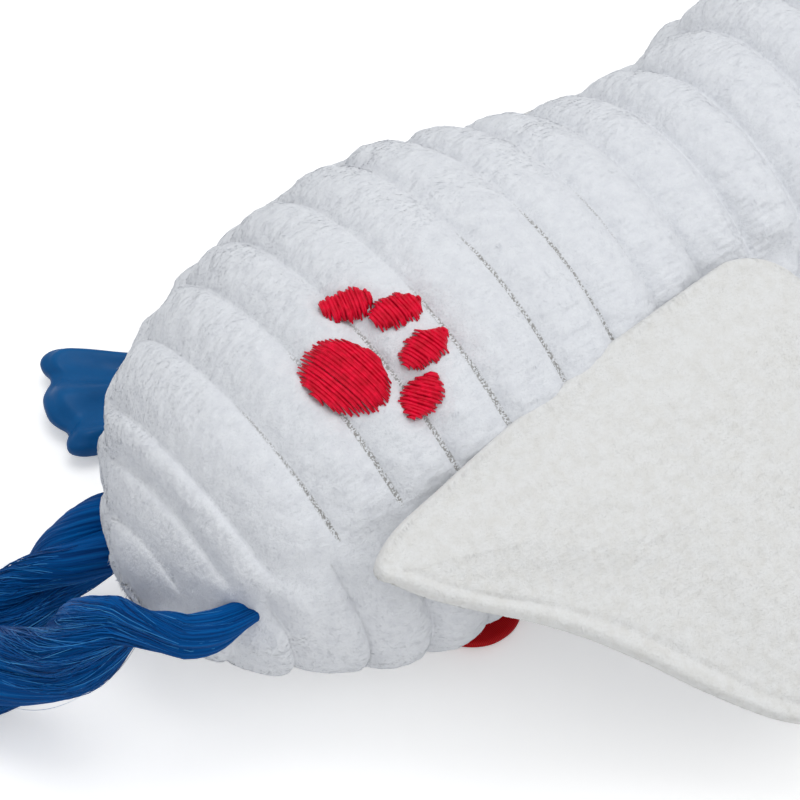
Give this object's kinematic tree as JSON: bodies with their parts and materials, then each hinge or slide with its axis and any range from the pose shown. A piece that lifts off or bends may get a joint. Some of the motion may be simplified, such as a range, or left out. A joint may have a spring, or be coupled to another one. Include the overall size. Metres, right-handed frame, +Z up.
{
  "type": "plush goose dog toy",
  "caption": "Stuffed goose dog toy with a ribbed body and neck, a squeaker inside, padded wings that flap, a rope tug loop at the rump and short rope legs with webbed rubber feet.",
  "frame": {"origin": "on the floor under the middle of the toy, its free tail rope left out", "axes": "+X from the tail towards the beak, +Y to the goose's left, +Z up"},
  "size_m": [0.4734, 0.195, 0.1738],
  "materials": {
    "white_plush": "short plush pile",
    "cream_plush": "short plush pile",
    "stuffing": "loose polyester fibre",
    "blue_rope": "laid cord with a satin lustre",
    "blue_rubber": "satin",
    "red_thread": "satin stitch",
    "red_satin": "satin tape",
    "black_thread": "satin stitch",
    "clear_vinyl": "clear"
  },
  "bodies": {
    "goose": {"tail_rope_loop": "blue_rope", "tail_rope_inner_run": "blue_rope", "squeaker_bulb": "clear_vinyl", "squeaker_reed": "clear_vinyl", "body_back_panel": "white_plush", "body_belly_panel": "white_plush", "body_stuffing": "stuffing", "leg_left_root_knot": "blue_rope", "leg_right_root_knot": "blue_rope", "neck_back_panel": "white_plush", "neck_front_panel": "white_plush", "neck_stuffing": "stuffing", "head_left_panel": "white_plush", "head_right_panel": "white_plush", "head_stuffing": "stuffing", "beak_upper": "blue_rubber", "beak_lower": "blue_rubber", "eye_left": "black_thread", "eye_right": "black_thread", "label_loop": "red_satin", "embroidered_paw_pad": "red_thread", "embroidered_paw_toe_1": "red_thread", "embroidered_paw_toe_2": "red_thread", "embroidered_paw_toe_3": "red_thread", "embroidered_paw_toe_4": "red_thread"},
    "wing_left": {"wing_left_top_panel": "cream_plush", "wing_left_under_panel": "cream_plush", "wing_left_padding": "stuffing"},
    "wing_right": {"wing_right_top_panel": "cream_plush", "wing_right_under_panel": "cream_plush", "wing_right_padding": "stuffing"},
    "leg_left": {"leg_left_rope": "blue_rope", "foot_left": "blue_rubber"},
    "leg_right": {"leg_right_rope": "blue_rope", "foot_right": "blue_rubber"}
  },
  "joints": [
    {"name": "wing_left_flap", "type": "hinge", "parent": "goose", "child": "wing_left", "pos_m": [-0.14462, 0.05877, 0.03674], "axis": [0.9711, -0.1538, 0.1822], "range_deg": [-2, 75]},
    {"name": "wing_right_flap", "type": "hinge", "parent": "goose", "child": "wing_right", "pos_m": [-0.15859, -0.0451, 0.06029], "axis": [-0.9971, -0.0585, -0.0497], "range_deg": [-3, 75]},
    {"name": "leg_left_swing", "type": "hinge", "parent": "goose", "child": "leg_left", "pos_m": [-0.0905, 0.03539, 0.01722], "axis": [0, 0, 1], "range_deg": [-7, 22]},
    {"name": "leg_right_swing", "type": "hinge", "parent": "goose", "child": "leg_right", "pos_m": [-0.0905, -0.02785, 0.01722], "axis": [0, 0, 1], "range_deg": [-22, 22]}
  ]
}
